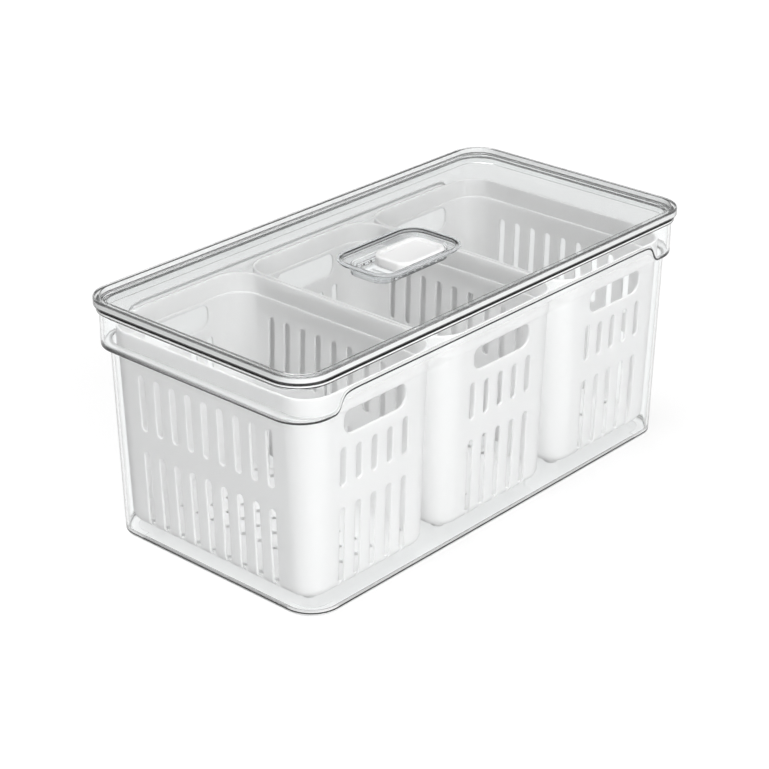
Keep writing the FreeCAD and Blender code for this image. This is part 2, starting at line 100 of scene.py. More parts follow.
@dataclass(frozen=True)
class Outline:
    """A rounded rectangle round the Z axis, in millimetres.

    Attributes:
        half_x: Half its length.
        half_y: Half its width.
        corner: Radius of its corners.
        stops_x: Distances from the middle of extra points on the long sides.
        stops_y: Distances from the middle of extra points on the short sides.
        steps: Straight steps in each corner.
    """

    half_x: float
    half_y: float
    corner: float
    stops_x: tuple[float, ...] = ()
    stops_y: tuple[float, ...] = ()
    steps: int = 14

    def inset(self, by: float) -> "Outline":
        """Return the outline moved inwards by a distance, or outwards by a negative one."""
        return Outline(self.half_x - by, self.half_y - by, max(self.corner - by, 0.05),
                       self.stops_x, self.stops_y, self.steps)

    def ring(self, level: Field) -> Ring:
        """Return the outline's points at a level.

        Args:
            level: The height, or a function that gives it at x and y.

        Returns:
            The points, anticlockwise from the foot of the +X side.
        """
        x, y, r = self.half_x, self.half_y, self.corner
        stops_x = [min(s, x - r) for s in self.stops_x]
        stops_y = [min(s, y - r) for s in self.stops_y]
        along_x = [-s for s in reversed(stops_x)] + stops_x
        along_y = [-s for s in reversed(stops_y)] + stops_y
        sides = ([(x, s) for s in along_y], [(-s, y) for s in along_x],
                 [(-x, -s) for s in along_y], [(s, -y) for s in along_x])
        flat: Shape = []
        for place, side in enumerate(sides):
            centre_x = (x - r) * (1, -1, -1, 1)[place]
            centre_y = (y - r) * (1, 1, -1, -1)[place]
            flat += side
            flat += [(centre_x + r * cos, centre_y + r * sin)
                     for cos, sin in turn(self.steps, place)]
        return [Vector((px, py, value_at(level, px, py))) for px, py in flat]


def round_over(start: Outline, end_inset: float, low: float, high: float, steps: int,
               bulge_up: bool = True) -> list[Ring]:
    """Make the rings of a quarter round between an outline and its inset.

    Args:
        start: The outline that the round starts from.
        end_inset: How far in the round ends.
        low: Height at the start.
        high: Height at the end.
        steps: Straight steps in the round.
        bulge_up: Whether the round leaves its start upright, and not level.

    Returns:
        The rings from start to end, both included.
    """
    rings = []
    for cos, sin in turn(steps):
        across, up = (1 - cos, sin) if bulge_up else (sin, 1 - cos)
        rings.append(start.inset(end_inset * across).ring(low + (high - low) * up))
    return rings


def foot_round(outline_at: Callable[[float], Outline], base: float, radius: float, steps: int,
               wall: float | None = None) -> list[Ring]:
    """Make the rings of the round at the foot of drafted walls, outside or inside.

    Args:
        outline_at: Gives the outside of the walls at a level.
        base: Height of the underside, or of the floor.
        radius: Radius of the round.
        steps: Straight steps in it.
        wall: Thickness of the walls, for the round inside.

    Returns:
        The rings, upwards for the round outside and downwards for the one inside.
    """
    rings = []
    for cos, sin in turn(steps):
        if wall is None:
            level, inset = base + radius * (1 - cos), radius * (1 - sin)
        else:
            level, inset = base + radius * (1 - sin), wall + radius * (1 - cos)
        rings.append(outline_at(level).inset(inset).ring(level))
    return rings


def circle(radius: float, level: float, steps: int) -> Ring:
    """List the points of a level circle round the Z axis."""
    return [Vector((radius * cos, radius * sin, level)) for cos, sin in turn(steps, 0.0, 4.0)[:-1]]


class Stack:
    """A stack of rings, with the painted black reflections and painted highlights of the moulded
    edges there.
    """

    def __init__(self) -> None:
        """Start empty."""
        self.rings: list[Ring] = []
        self.paint: list[tuple[Field, Field]] = []

    def add(self, rings: Sequence[Ring], dark: Field = 0.0, glow: Field = 0.0) -> None:
        """Put rings on the stack.

        Args:
            rings: The rings, from below.
            dark: Strength of the painted black reflection on their edge, from 0 to 1.
            glow: Strength of the painted highlight on their edge, from 0 to 1.
        """
        self.rings += rings
        self.paint += [(dark, glow)] * len(rings)

    def mesh(self, closed: bool = False) -> BMesh:
        """Skin the stack, and write both painted tones on its points."""
        return mesh_from_rings(self.rings, closed, self.paint)


# ---------------------------------------------------------------- meshes and objects


def skin(mesh: BMesh, rows: Sequence[Sequence[BMVert]],
         closed: bool = False, capped: bool = True) -> None:
    """Join rows of points with faces.

    Args:
        mesh: The mesh that the points are in.
        rows: The rows, with as many points each.
        closed: Whether the last row joins the first, in place of flat caps.
        capped: Whether an open stack gets its flat caps.
    """
    count = len(rows[0])
    pairs = list(zip(rows, rows[1:]))
    if closed:
        pairs.append((rows[-1], rows[0]))
    for low, high in pairs:
        for i in range(count):
            j = (i + 1) % count
            mesh.faces.new((low[i], low[j], high[j], high[i]))
    if capped and not closed:
        mesh.faces.new(rows[0])
        mesh.faces.new(rows[-1])


def mesh_from_rings(rings: Sequence[Ring], closed: bool = False,
                    paint: Sequence[tuple[Field, Field]] = ()) -> BMesh:
    """Skin a stack of rings that have as many points each.

    Args:
        rings: The rings in millimetres.
        closed: Whether the last ring joins the first, in place of flat caps.
        paint: The painted black reflection and the painted highlight of each ring, if its edges
            show any.

    Returns:
        The mesh in metres, with its normals outwards.
    """
    mesh = bmesh.new()
    layers = [mesh.verts.layers.float.new(name) for name in ("dark", "glow")] if paint else []
    rows = [[mesh.verts.new(point * MM) for point in ring] for ring in rings]
    for row, ring, tones in zip(rows, rings, paint):
        for vert, point in zip(row, ring):
            for layer, tone in zip(layers, tones):
                vert[layer] = value_at(tone, point.x, point.y)
    skin(mesh, rows, closed)
    bmesh.ops.remove_doubles(mesh, verts=mesh.verts, dist=WELD)
    bmesh.ops.dissolve_degenerate(mesh, edges=mesh.edges, dist=SPECK)
    bmesh.ops.recalc_face_normals(mesh, faces=mesh.faces)
    return mesh


def add_box(mesh: BMesh, along: Sequence[float], across: Sequence[float],
            up: Sequence[float]) -> None:
    """Add a box to a mesh.

    Args:
        mesh: The mesh.
        along: Its two limits along X, in millimetres.
        across: Its limits along Y.
        up: Its limits along Z.
    """
    corners = [mesh.verts.new(Vector((x, y, z)) * MM) for z in up for y in across for x in along]
    for face in ((0, 2, 3, 1), (4, 5, 7, 6), (0, 1, 5, 4),
                 (2, 6, 7, 3), (0, 4, 6, 2), (1, 3, 7, 5)):
        mesh.faces.new([corners[i] for i in face])


def add_column(mesh: BMesh, centre: Vector, circles: Sequence[tuple[float, float]],
               steps: int) -> None:
    """Add a round upright column to a mesh.

    Args:
        mesh: The mesh.
        centre: Its middle at height 0, in millimetres.
        circles: Height and radius of each of its circles, from below.
        steps: Straight steps in a circle.
    """
    skin(mesh, [[mesh.verts.new((centre + point) * MM) for point in circle(radius, level, steps)]
                for level, radius in circles])


def make_object(name: str, mesh: BMesh, sharp_degrees: float = 40.0) -> Object:
    """Turn a mesh into an object with smooth faces that keeps its sharp edges.

    Args:
        name: Name of the object.
        mesh: The mesh, which is used up.
        sharp_degrees: Angle above which an edge is sharp.

    Returns:
        The object.
    """
    data = bpy.data.meshes.new(name)
    mesh.to_mesh(data)
    mesh.free()
    thing = bpy.data.objects.new(name, data)
    bpy.context.scene.collection.objects.link(thing)
    smooth(thing, sharp_degrees)
    return thing


def smooth(thing: Object, sharp_degrees: float) -> None:
    """Shade an object smooth, and mark the edges that are sharper than an angle."""
    thing.data.polygons.foreach_set("use_smooth", [True] * len(thing.data.polygons))
    thing.data.set_sharp_from_angle(angle=math.radians(sharp_degrees))


def even_normals(thing: Object) -> None:
    """Let the large flat faces set the normals, so that only the rounds look round.

    Args:
        thing: The object.
    """
    modifier = thing.modifiers.new("Even normals", "WEIGHTED_NORMAL")
    modifier.keep_sharp = True
    modifier.weight = 100


def combine(thing: Object, other: BMesh, change: Change) -> None:
    """Cut a mesh out of an object, or join it on, and apply the change.

    Args:
        thing: The object that changes.
        other: The mesh, which is used up.
        change: Whether it cuts or joins.
    """
    bmesh.ops.recalc_face_normals(other, faces=other.faces)
    tool = make_object("tool", other)
    modifier = thing.modifiers.new("Combine", "BOOLEAN")
    modifier.operation = change.value
    modifier.solver = "EXACT"
    modifier.object = tool
    bpy.context.view_layer.update()
    graph = bpy.context.evaluated_depsgraph_get()
    result = bpy.data.meshes.new_from_object(thing.evaluated_get(graph))
    thing.modifiers.remove(modifier)
    spares = (thing.data, tool.data)
    thing.data = result
    bpy.data.objects.remove(tool)
    for spare in spares:
        bpy.data.meshes.remove(spare)


def dress(thing: Object, material: Material, body: Body,
          node: str) -> None:
    """Give an object its material, hang it on its body, and hide the solid that it replaces.

    Args:
        thing: The object.
        material: Its material.
        body: The body that it rides on.
        node: The solid that it replaces.
    """
    even_normals(thing)
    thing.data.materials.clear()
    thing.data.materials.append(material)
    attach(thing, body.value)
    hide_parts(node)


def let_light_through(thing: Object) -> None:
    """Keep a clear piece from shading what is in it, which clear plastic hardly does."""
    thing.visible_shadow = False
    thing.visible_diffuse = False


# ---------------------------------------------------------------- finishes


def linear(code: str) -> tuple[float, float, float, float]:
    """Turn an sRGB hex colour into linear values."""
    parts = [int(code[i:i + 2], 16) / 255 for i in (1, 3, 5)]
    return *(p / 12.92 if p <= 0.04045 else ((p + 0.055) / 1.055) ** 2.4 for p in parts), 1.0


def add_node(tree: NodeTree, kind: str, settings: dict[str, object] | None = None,
             **links: object) -> Node:
    """Add a node to a tree.

    Args:
        tree: The tree.
        kind: Type name of the node.
        settings: Its own properties, by name.
        **links: A value or an output socket for each input, by the input's name with _ for a
            space, or by i and its number where names repeat.

    Returns:
        The node.
    """
    node = tree.nodes.new(kind)
    for name, value in (settings or {}).items():
        setattr(node, name, value)
    for name, value in links.items():
        numbered = name[0] == "i" and name[1:].isdigit()
        socket = node.inputs[int(name[1:]) if numbered else name.replace("_", " ")]
        if isinstance(value, NodeSocket):
            tree.links.new(value, socket)
        else:
            socket.default_value = value
    return node


def new_material(name: str) -> tuple[Material, NodeTree, Node]:
    """Make an empty material.

    Args:
        name: Name of the material.

    Returns:
        The material, its tree and its output node.
    """
    material = bpy.data.materials.new(name)
    material.use_nodes = True
    tree = material.node_tree
    tree.nodes.clear()
    return material, tree, tree.nodes.new("ShaderNodeOutputMaterial")


def seen_rays(tree: NodeTree) -> NodeSocket:
    """Tell the rays that look at a surface from those that carry its light.

    Args:
        tree: The tree that the nodes go in.

    Returns:
        A socket with 1 for rays of the camera, of gloss and through clear plastic, or else 0.
    """
    path = add_node(tree, "ShaderNodeLightPath")
    seen = path.outputs["Is Camera Ray"]
    for ray in ("Is Glossy Ray", "Is Transmission Ray"):
        both = add_node(tree, "ShaderNodeMath", {"operation": "MAXIMUM"}, i0=seen,
                        i1=path.outputs[ray])
        seen = both.outputs[0]
    return seen


# Clear styrene, injection moulded and polished. It gives the eye hardly any tint and faint waves
# where the melt flowed. Its edges carry painted lines, painted on the rings: painted black
# reflections that stand in for the black cloth of the studio, and painted white highlights that
# stand in for a light.
# Upright walls seen at a flat angle take the painted black too.
@dataclass(frozen=True)
class ClearStyrene:
    """The finish of the bin, the lid and the vent's housing.

    Attributes:
        name: Name of the material.
        tint: Colour that light takes on the way through.
        depth_tint: Colour that a thick stretch of it takes.
        density: Strength of that colour, per metre.
        roughness: How much it blurs.
        haze: Share by which that changes along the waves.
        wave_mm: Length of the waves that the flow of the melt leaves.
        painted_reflection_colour: Colour of the painted black reflection of the studio's black
            cloth on a moulded edge.
        edge_dark: How far an upright wall seen at a flat angle takes that painted colour.
        grazing_paint_from: Layer Weight's Facing where that painting starts.
        grazing_paint_to: Facing where it is full.
        highlight_clear: How clear an edge with a painted highlight stays.
    """

    name: str
    tint: str = "#FDFEFE"
    depth_tint: str = "#BCBCBC"
    density: float = 1.0
    roughness: float = 0.02
    haze: float = 0.4
    wave_mm: float = 22.0
    painted_reflection_colour: str = "#030303"
    edge_dark: float = 0.9
    grazing_paint_from: float = 0.62
    grazing_paint_to: float = 0.9
    highlight_clear: float = 0.1

    def build(self) -> Material:
        """Build the material.

        Returns:
            The material.
        """
        material, tree, output = new_material(self.name)
        place = add_node(tree, "ShaderNodeTexCoord")
        wave = add_node(tree, "ShaderNodeTexNoise", Vector=place.outputs["Object"],
                        Scale=1 / (self.wave_mm * MM), Detail=1.0, Roughness=0.4)
        bump = add_node(tree, "ShaderNodeBump", Strength=0.05, Distance=0.0002,
                        Height=wave.outputs["Fac"])
        blur = add_node(tree, "ShaderNodeMapRange", Value=wave.outputs["Fac"],
                        From_Min=0.3, From_Max=0.7, To_Min=self.roughness * (1 - self.haze),
                        To_Max=self.roughness * (1 + self.haze))
        # The painted black reflections and painted highlights that the rings carry.
        dark_paint = add_node(tree, "ShaderNodeAttribute", {"attribute_name": "dark"})
        glow_paint = add_node(tree, "ShaderNodeAttribute", {"attribute_name": "glow"})
        # Painted black reflection where an upright wall is seen at a flat angle.
        facing = add_node(tree, "ShaderNodeLayerWeight", Blend=0.5)
        grazing = add_node(tree, "ShaderNodeMapRange", Value=facing.outputs["Facing"],
                           From_Min=self.grazing_paint_from, From_Max=self.grazing_paint_to, To_Min=0.0,
                           To_Max=self.edge_dark)
        shape = add_node(tree, "ShaderNodeNewGeometry")
        normal = add_node(tree, "ShaderNodeSeparateXYZ", Vector=shape.outputs["True Normal"])
        # A wall counts as upright within 30 degrees, where its normal's Z is within 0.5.
        upright = add_node(tree, "ShaderNodeMath", {"operation": "COMPARE"},
                           i0=normal.outputs["Z"], i1=0.0, i2=0.5)
        outline = add_node(tree, "ShaderNodeMath", {"operation": "MULTIPLY"},
                           i0=grazing.outputs["Result"], i1=upright.outputs[0])
        dark = add_node(tree, "ShaderNodeMath", {"operation": "MAXIMUM"},
                        i0=outline.outputs[0], i1=dark_paint.outputs["Fac"])
        # The base colour takes the painted black reflection.
        colour = add_node(tree, "ShaderNodeMix", {"data_type": "RGBA"}, i0=dark.outputs[0],
                          i6=linear(self.tint), i7=linear(self.painted_reflection_colour))
        # A painted highlight turns the clear plastic into diffuse white.
        clear = add_node(tree, "ShaderNodeMapRange", Value=glow_paint.outputs["Fac"],
                         To_Min=1.0, To_Max=self.highlight_clear)
        shader = add_node(tree, "ShaderNodeBsdfPrincipled", Base_Color=colour.outputs["Result"],
                          IOR=1.5, Transmission_Weight=clear.outputs["Result"],
                          Roughness=blur.outputs["Result"], Normal=bump.outputs["Normal"])
        depth = add_node(tree, "ShaderNodeVolumeAbsorption", Color=linear(self.depth_tint),
                         Density=self.density)
        tree.links.new(shader.outputs["BSDF"], output.inputs["Surface"])
        tree.links.new(depth.outputs["Volume"], output.inputs["Volume"])
        return material


# White polypropylene, injection moulded in a spark-eroded tool. It gives the eye a satin surface
# without a clear reflection, and soft shadows, because light spreads a little way inside it.
@dataclass(frozen=True)
class WhitePolypropylene:
    """The finish of the baskets and of the vent's slider.

    Attributes:
        name: Name of the material.
        colour: Its colour.
        shade: Its colour where the melt flowed thinner.
        roughness: Roughness of the satin surface.
        gloss_change: How far that changes along the flow.
        flow_mm: Size of the areas that the flow leaves.
        grain_mm: Size of the tool's grain, drawn coarser than the real 0.05 mm so that it shows.
        spread_mm: How far light spreads in it.
    """

    name: str
    colour: str = "#FBFBFB"
    shade: str = "#F8F8F8"
    roughness: float = 0.42
    gloss_change: float = 0.04
    flow_mm: float = 60.0
    grain_mm: float = 0.5
    spread_mm: float = 6.0

    def build(self) -> Material:
        """Build the material.

        Returns:
            The material.
        """
        material, tree, output = new_material(self.name)
        place = add_node(tree, "ShaderNodeTexCoord")
        flow = add_node(tree, "ShaderNodeTexNoise", Vector=place.outputs["Object"],
                        Scale=1 / (self.flow_mm * MM), Detail=2.0)
        colour = add_node(tree, "ShaderNodeMix", {"data_type": "RGBA"}, i0=flow.outputs["Fac"],
                          i6=linear(self.colour), i7=linear(self.shade))
        grain = add_node(tree, "ShaderNodeTexNoise", Vector=place.outputs["Object"],
                         Scale=1 / (self.grain_mm * MM), Detail=3.0)
        bump = add_node(tree, "ShaderNodeBump", Strength=0.06, Distance=0.0001,
                        Height=grain.outputs["Fac"])
        gloss = add_node(tree, "ShaderNodeMapRange", Value=flow.outputs["Fac"], From_Min=0.3,
                         From_Max=0.7, To_Min=self.roughness - self.gloss_change,
                         To_Max=self.roughness + self.gloss_change)
        shader = add_node(tree, "ShaderNodeBsdfPrincipled", Base_Color=colour.outputs["Result"],
                          IOR=1.49, Roughness=gloss.outputs["Result"],
                          Normal=bump.outputs["Normal"], Subsurface_Weight=1.0,
                          Subsurface_Radius=(1.0, 1.0, 1.0),
                          Subsurface_Scale=self.spread_mm * MM)
        tree.links.new(shader.outputs["BSDF"], output.inputs["Surface"])
        return material


# ---------------------------------------------------------------- clear bin


@dataclass
class ClearBin:
    """The clear bin: drafted tub, wider collar with relieved long sides, lip and corner feet.

    Sizes are in millimetres. The relief lists how far along the side, and how much of the way
    from the low to the high shoulder, its edge lies. The edge's tones are the painted black
    reflection and the painted highlight of its rings, and the wall's are the height, painted black
    reflection and painted highlight of those just above it.
    """

    half_length: float = 178.3
    half_width: float = 90.0
    draft: float = 0.0145
    wall: float = 1.8
    floor: float = 3.0
    floor_round: float = 2.0
    foot_rise: float = 0.5
    foot_from_x: float = 152.3
    foot_from_y: float = 64.0
    foot_inset: float = 4.0
    foot_width: float = 5.0
    foot_slope: float = 0.3
    corner: float = 21.0
    corner_loss: float = 0.00998
    edge_round: float = 1.2
    collar_half_length: float = 188.24
    collar_half_width: float = 92.8
    collar_corner: float = 22.0
    shoulder_low: float = 133.5
    shoulder_high: float = 145.1
    bead: float = 1.2
    inner_bead: float = 0.9
    bead_share: float = 0.6
    bead_steps: int = 4
    lip_base: float = 157.4
    lip_top: float = 160.3
    lip_reach: float = 1.8
    lip_round: float = 1.2
    mouth_round: float = 0.4
    # The lip's painted black reflection ends, and its painted highlight starts, this far above the
    # lip's base.
    lip_painted_black_to: float = 0.75
    lip_painted_highlight_from: float = 1.0
    shelf_above: float = 1.4
    shelf_below: float = 1.5
    # Painted highlight on the shelf inside.
    shelf_glow: float = 0.5
    side_middle: float = 120.0
    side_depth: float = 0.5
    relief: tuple[tuple[float, float], ...] = (
        (138.0, 1.0), (144.0, 0.99), (147.5, 0.96), (150.0, 0.9), (151.5, 0.82), (152.7, 0.71),
        (153.7, 0.58), (154.5, 0.45), (155.2, 0.32), (156.0, 0.2), (157.0, 0.11), (158.2, 0.04),
        (159.8, 0.0))
    # Painted black reflection and painted highlight of each ring of the lower edge; height, painted
    # black reflection and painted highlight of the wall rings above it.
    edge_painted_tones: tuple[tuple[float, float], ...] = (
        (1.0, 0.0), (1.0, 0.0), (0.9, 0.0), (0.0, 0.9), (0.0, 1.0), (0.0, 1.0))
    wall_painted_tones: tuple[tuple[float, float, float], ...] = (
        (1.9, 0.0, 0.9), (2.1, 1.0, 0.0), (3.0, 1.0, 0.0), (3.2, 0.0, 0.7), (4.4, 0.0, 0.7),
        (5.2, 0.0, 0.0))
    # The collar's foot carries a painted black band beyond this x, and the -X end a painted shade
    # above it, growing between these y.
    painted_end_from: float = 160.0
    painted_shade_start: float = -40.0
    painted_shade_full: float = 70.0

    def tub(self, level: float) -> Outline:
        """Draw the outside of the tub.

        Args:
            level: The height of the cut.

        Returns:
            Its outline there.
        """
        stops_x = (self.side_middle, *(x for x, _ in self.relief),
                   self.foot_from_x - self.foot_slope, self.foot_from_x + self.foot_slope)
        return Outline(self.half_length + self.draft * level, self.half_width + self.draft * level,
                       self.corner - self.corner_loss * level, tuple(sorted(stops_x)),
                       (self.foot_from_y - self.foot_slope, self.foot_from_y + self.foot_slope))

    def collar(self) -> Outline:
        """Draw the outside of the collar.

        Returns:
            Its outline, with the points of the tub's.
        """
        tub = self.tub(0)
        return Outline(self.collar_half_length, self.collar_half_width, self.collar_corner,
                       tub.stops_x, tub.stops_y)

    def shoulder(self, x: float, y: float) -> float:
        """Return how high the collar starts.

        Args:
            x: Place of a point of the wall along X.
            y: Its place along Y.

        Returns:
            The height, which rises from the low to the high shoulder along the long sides.
        """
        if abs(y) < self.half_width - self.side_depth or abs(x) >= self.relief[-1][0]:
            return self.shoulder_low
        share = 1.0
        for (near, high), (far, low) in zip(self.relief, self.relief[1:]):
            if near <= abs(x) <= far:
                share = high + (low - high) * (abs(x) - near) / (far - near)
        return self.shoulder_low + share * (self.shoulder_high - self.shoulder_low)

    def above_shoulder(self, outline: Outline, lift: float) -> Ring:
        """Return an outline's points at a height above the shoulder."""
        return outline.ring(lambda x, y: self.shoulder(x, y) + lift)

    def underside(self, x: float, y: float) -> float:
        """Return the height of the underside, which is lower under the corners."""
        at_corner = abs(x) > self.foot_from_x and abs(y) > self.foot_from_y
        return 0.0 if at_corner else self.foot_rise

    def step_rings(self, lift: float, inset: float, bead: float) -> list[Ring]:
        """Make the rings that step out from the tub to the collar.

        Args:
            lift: How far above the shoulder the step lies.
            inset: How far inside the outer surfaces it lies.
            bead: Radius of its outer edge, where the step is wide enough for it.

        Returns:
            The rings from the tub to the collar.
        """
        outer = self.above_shoulder(self.collar().inset(inset), lift)
        low = self.tub(self.shoulder_low).inset(inset).ring(0)
        high = self.tub(self.shoulder_high).inset(inset).ring(0)
        inner = []
        for start, end, edge in zip(low, high, outer):
            share = (edge.z - lift - self.shoulder_low) / (self.shoulder_high - self.shoulder_low)
            flat = start.lerp(end, share)
            inner.append(Vector((flat.x, flat.y, edge.z)))
        rings = [inner]
        for cos, sin in turn(self.bead_steps):
            ring = []
            for near, far in zip(inner, outer):
                gap = near - far
                radius = min(bead, self.bead_share * gap.length)
                across = gap.normalized() * radius * (1 - sin)
                ring.append(far + across + Vector((0, 0, radius * (1 - cos))))
            rings.append(ring)
        return rings

    def painted_end_line(self, x: float, _y: float) -> float:
        """Return the painted black reflection on the collar's foot line where it is wider, at the
        ends.
        """
        return 1.0 if abs(x) > self.painted_end_from else 0.0

    def painted_end_shade(self, x: float, y: float) -> float:
        """Return the painted shade on the wall above that line: only at the -X end, more so at the
        back.
        """
        share = (y - self.painted_shade_start) / (self.painted_shade_full - self.painted_shade_start)
        return max(0.0, min(1.0, share)) if x < -self.half_length else 0.0

    def stack_foot(self, stack: Stack) -> None:
        """Stack the underside, the feet and the lower edge.

        Args:
            stack: The stack, which is empty.
        """
        base = self.tub(self.foot_rise)
        inner = base.inset(self.foot_inset + self.foot_width)
        outer = base.inset(self.foot_inset)
        stack.add([inner.ring(self.foot_rise), inner.ring(self.underside),
                   outer.ring(self.underside), outer.ring(self.foot_rise)])
        # The lower edge and the wall above it carry painted black reflections and painted
        # highlights.
        edge = foot_round(self.tub, self.foot_rise, self.edge_round, len(self.edge_painted_tones) - 1)
        for ring, (dark, glow) in zip(edge, self.edge_painted_tones):
            stack.add([ring], dark, glow)
        for level, dark, glow in self.wall_painted_tones:
            stack.add([self.tub(level).ring(level)], dark, glow)

    def stack_collar(self, stack: Stack) -> None:
        """Stack the step of the collar, its outside and the lip.

        Args:
            stack: The stack, up to the walls of the tub.
        """
        collar = self.collar()
        step_out = self.step_rings(0.0, 0.0, self.bead)
        stack.add(step_out[:1])
        # The step's bead carries a painted black reflection.
        stack.add(step_out[1:], dark=1.0)
        # Heights above the collar's foot, and the painted black reflection on its outside there.
        tones: tuple[tuple[float, Field], ...] = (
            (1.3, 1.0), (1.6, self.painted_end_line), (2.2, self.painted_end_shade),
            (3.6, lambda x, y: 0.8 * self.painted_end_shade(x, y)), (4.8, 0.0))
        for lift, dark in tones:
            stack.add([self.above_shoulder(collar, lift)], dark)
        stack.add([collar.ring(self.lip_base - 0.5)])
        lip = collar.inset(-self.lip_reach)
        r = self.mouth_round
        # The lip carries painted black reflections and a painted highlight.
        stack.add([collar.ring(self.lip_base)], dark=1.0)
        stack.add(round_over(lip, r, self.lip_base + r, self.lip_base, 2)[::-1], dark=1.0)
        stack.add([lip.ring(self.lip_base + self.lip_painted_black_to)], dark=1.0)
        stack.add([lip.ring(self.lip_base + self.lip_painted_highlight_from)], glow=1.0)
        top = round_over(lip, self.lip_round, self.lip_top - self.lip_round, self.lip_top, 5)
        stack.add(top[:1], glow=1.0)
        stack.add(top[1:], dark=1.0)

    def stack_inside(self, stack: Stack) -> None:
        """Stack the mouth, the inner walls and the floor.

        Args:
            stack: The stack, up to the lip.
        """
        collar = self.collar()
        r = self.mouth_round
        stack.add(round_over(collar.inset(self.wall - r), r, self.lip_top, self.lip_top - r, 2,
                             bulge_up=False))
        stack.add([self.above_shoulder(collar.inset(self.wall), self.wall + self.shelf_above)])
        # The shelf's inner step carries a painted highlight.
        stack.add(self.step_rings(self.wall, self.wall, self.inner_bead)[::-1],
                  glow=self.shelf_glow)
        below = self.shoulder_low - self.shelf_below
        stack.add([self.tub(below).inset(self.wall).ring(below)])
        stack.add(foot_round(self.tub, self.floor, self.floor_round, 4, self.wall))

    def build(self, finish: ClearStyrene) -> Object:
        """Build and dress the bin.

        Args:
            finish: Its finish.

        Returns:
            The bin.
        """
        stack = Stack()
        self.stack_foot(stack)
        self.stack_collar(stack)
        self.stack_inside(stack)
        shell = make_object("bin_shell", stack.mesh(), SHARP_CLEAR)
        dress(shell, finish.build(), Body.KEEPER, "bin")
        let_light_through(shell)
        return shell


# ---------------------------------------------------------------- clear lid


@dataclass
class ClearLid:
    """The clear lid: raised rim, sunk panel, skirt inside the bin's mouth, opening for the vent."""

    half_length: float = 190.64
    half_width: float = 95.2
    corner: float = 22.0
    base: float = 160.6
    panel_top: float = 162.8
    top: float = 166.2
    rim_width: float = 4.6
    rim_round: float = 1.2
    inner_round: float = 0.8
    foot_round: float = 0.9
    skirt_half_length: float = 185.6
    skirt_half_width: float = 89.36
    skirt_corner: float = 19.4
    skirt_depth: float = 6.0
    skirt_wall: float = 1.6
    skirt_round: float = 0.5
    opening_half_length: float = 40.0
    opening_half_width: float = 24.6
    opening_corner: float = 14.5
    panel_margin: float = 0.6
    inner_margin: float = 0.4
    # Painted tones: a painted black reflection in the inner round, faint painted highlights on the
    # rim's top rounds, and a painted highlight on the rim's side from these distances below the top
    # and above the base.
    inner_dark: float = 0.35
    top_glow: tuple[float, float] = (0.05, 0.1)
    side_glow: tuple[float, float] = (1.6, 1.5)
    ledge: float = 2.0

    def stack(self) -> Stack:
        """Stack the rings of the lid.

        Returns:
            The rings from the opening over the rim and back below, which close on themselves.
        """
        edge = Outline(self.half_length, self.half_width, self.corner)
        skirt = Outline(self.skirt_half_length, self.skirt_half_width, self.skirt_corner)
        opening = Outline(self.opening_half_length, self.opening_half_width, self.opening_corner)
        inner = edge.inset(self.rim_width)
        top, base, r = self.top, self.base, self.inner_round
        stack = Stack()
        margin = inner.inset(r + self.panel_margin)
        stack.add([opening.ring(self.panel_top), margin.ring(self.panel_top)])
        # The inner round carries a painted black reflection.
        stack.add(round_over(inner, r, self.panel_top + r, self.panel_top, 4)[::-1],
                  dark=self.inner_dark)
        stack.add([inner.ring(self.panel_top + r + self.inner_margin)])
        # The rim's top rounds carry faint painted highlights, its side a painted highlight and its
        # foot round a painted black reflection.
        stack.add(round_over(inner, -r, top - r, top, 4), glow=self.top_glow[0])
        stack.add(round_over(edge, self.rim_round, top - self.rim_round, top, 7)[::-1],
                  glow=self.top_glow[1])
        below_top, above_base = self.side_glow
        stack.add([edge.ring(top - below_top), edge.ring(base + above_base)], glow=1.0)
        stack.add(round_over(edge, self.foot_round, base + self.foot_round, base, 4), dark=1.0)
        stack.add([edge.inset(self.ledge).ring(base), skirt.ring(base)])
        foot, r = base - self.skirt_depth, self.skirt_round
        inside = skirt.inset(self.skirt_wall)
        stack.add(round_over(skirt, r, foot + r, foot, 2))
        stack.add(round_over(inside, -r, foot + r, foot, 2)[::-1])
        stack.add([inside.ring(base), opening.ring(base)])
        return stack

    def build(self, finish: ClearStyrene) -> Object:
        """Build and dress the lid.

        Args:
            finish: Its finish.

        Returns:
            The lid.
        """
        cover = make_object("lid_cover", self.stack().mesh(closed=True), SHARP_CLEAR)
        dress(cover, finish.build(), Body.KEEPER, "lid")
        let_light_through(cover)
        return cover


# ---------------------------------------------------------------- vent


